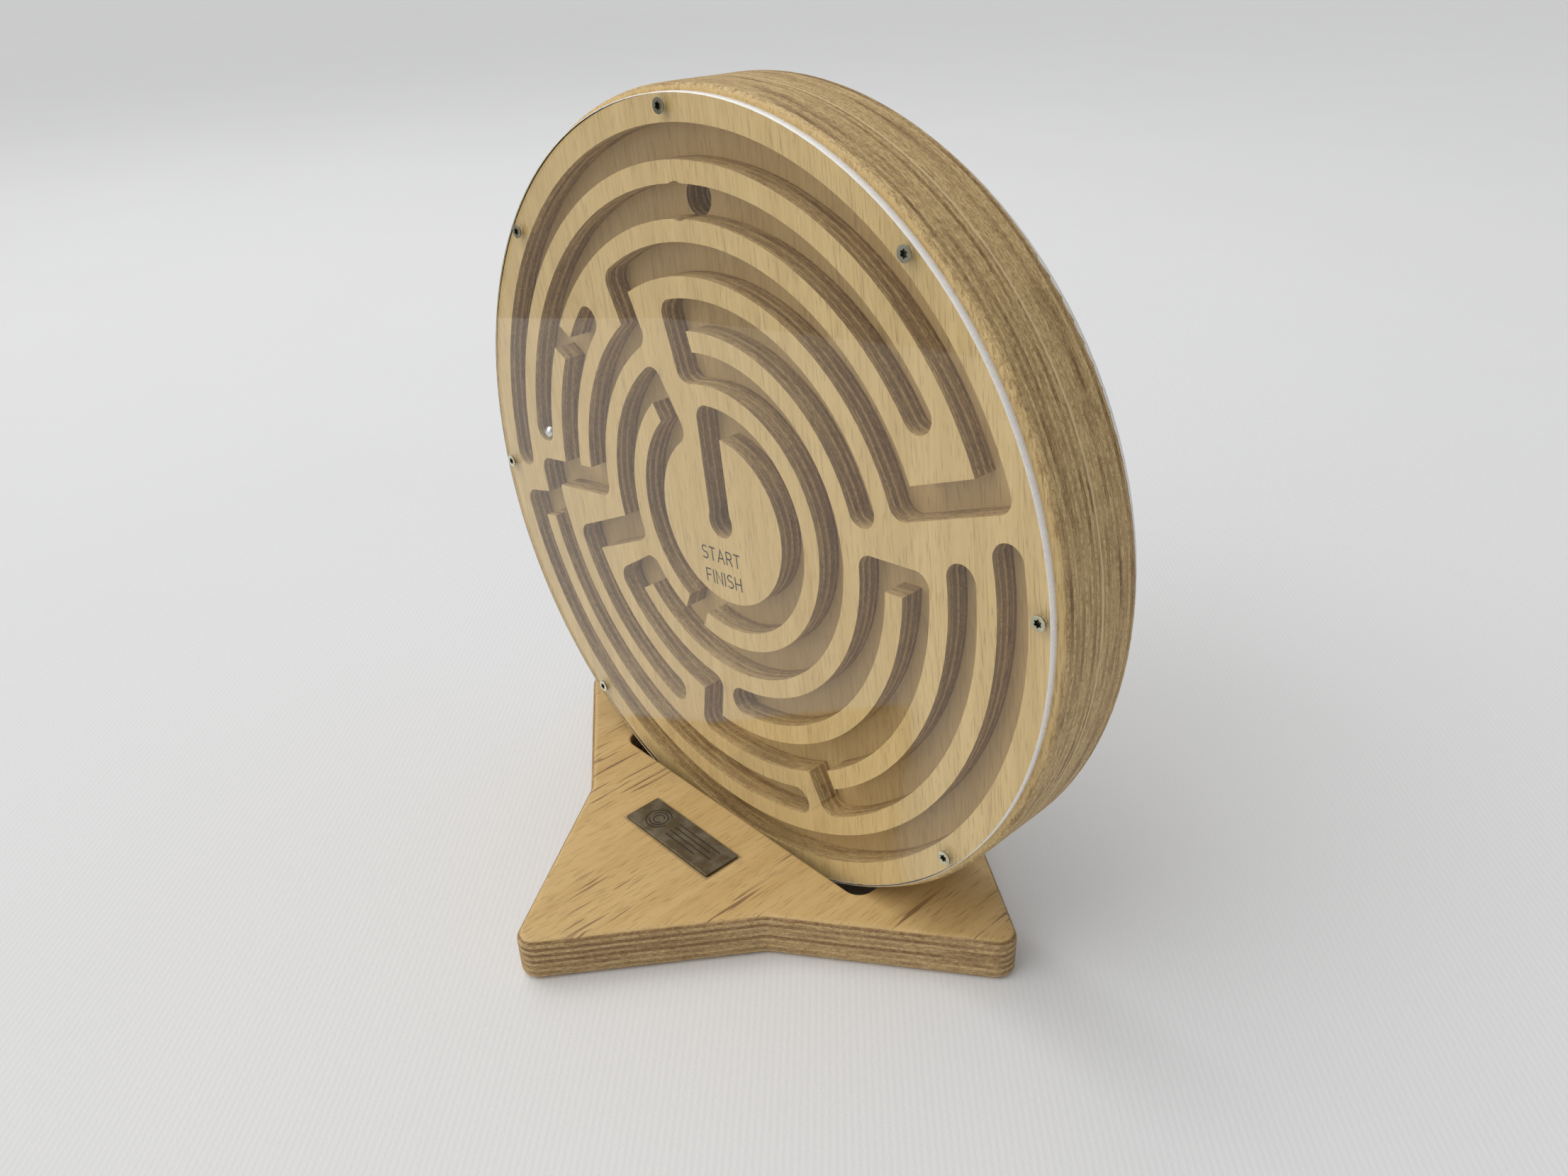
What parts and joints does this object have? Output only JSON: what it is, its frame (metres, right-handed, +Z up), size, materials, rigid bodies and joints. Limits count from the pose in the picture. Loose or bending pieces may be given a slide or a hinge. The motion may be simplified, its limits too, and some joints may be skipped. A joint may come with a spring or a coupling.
{
  "type": "two-sided ball maze wheel on a star base",
  "caption": "Round plywood ball maze with clear screwed covers on both faces, turned by hand in the slot of a four-pointed plywood base.",
  "frame": {"origin": "middle of the base's underside, on the surface it stands on", "axes": "+Z up; the wheel's axis runs along Y and its front maze faces -Y; +X to the right seen from the front"},
  "size_m": [0.29, 0.2462, 0.2906],
  "materials": {
    "base_plywood": "clear oiled birch plywood with visible plies on the edge",
    "board_plywood": "sanded birch plywood, plies showing on the rim and in the channels",
    "clear_acrylic": "clear cast acrylic with a sawn, slightly frosted edge",
    "zinc_screw": "bright zinc plate with a faint yellow tint",
    "plate_metal": "dark bronzed and brushed metal",
    "ball_steel": "polished bearing steel"
  },
  "bodies": {
    "base": {"star_base": "base_plywood", "nameplate": "plate_metal"},
    "wheel": {"maze_board_front": "board_plywood", "maze_board_back": "board_plywood", "cover_front": "clear_acrylic", "cover_back": "clear_acrylic", "cover_screw_front_1": "zinc_screw", "cover_screw_front_2": "zinc_screw", "cover_screw_front_3": "zinc_screw", "cover_screw_front_4": "zinc_screw", "cover_screw_front_5": "zinc_screw", "cover_screw_front_6": "zinc_screw", "cover_screw_front_7": "zinc_screw", "cover_screw_front_8": "zinc_screw", "cover_screw_back_1": "zinc_screw", "cover_screw_back_2": "zinc_screw", "cover_screw_back_3": "zinc_screw", "cover_screw_back_4": "zinc_screw", "cover_screw_back_5": "zinc_screw", "cover_screw_back_6": "zinc_screw", "cover_screw_back_7": "zinc_screw", "cover_screw_back_8": "zinc_screw"},
    "ball": {"steel_ball": "ball_steel"}
  },
  "joints": [
    {"name": "wheel_spin", "type": "hinge", "parent": "base", "child": "wheel", "pos_m": [0, 0, 0.1456], "axis": [0, 1, 0], "continuous": true},
    {"name": "ball_roll", "type": "hinge", "parent": "wheel", "child": "ball", "pos_m": [0, 0, 0.1456], "axis": [0, 1, 0], "range_deg": [0, 76]}
  ]
}
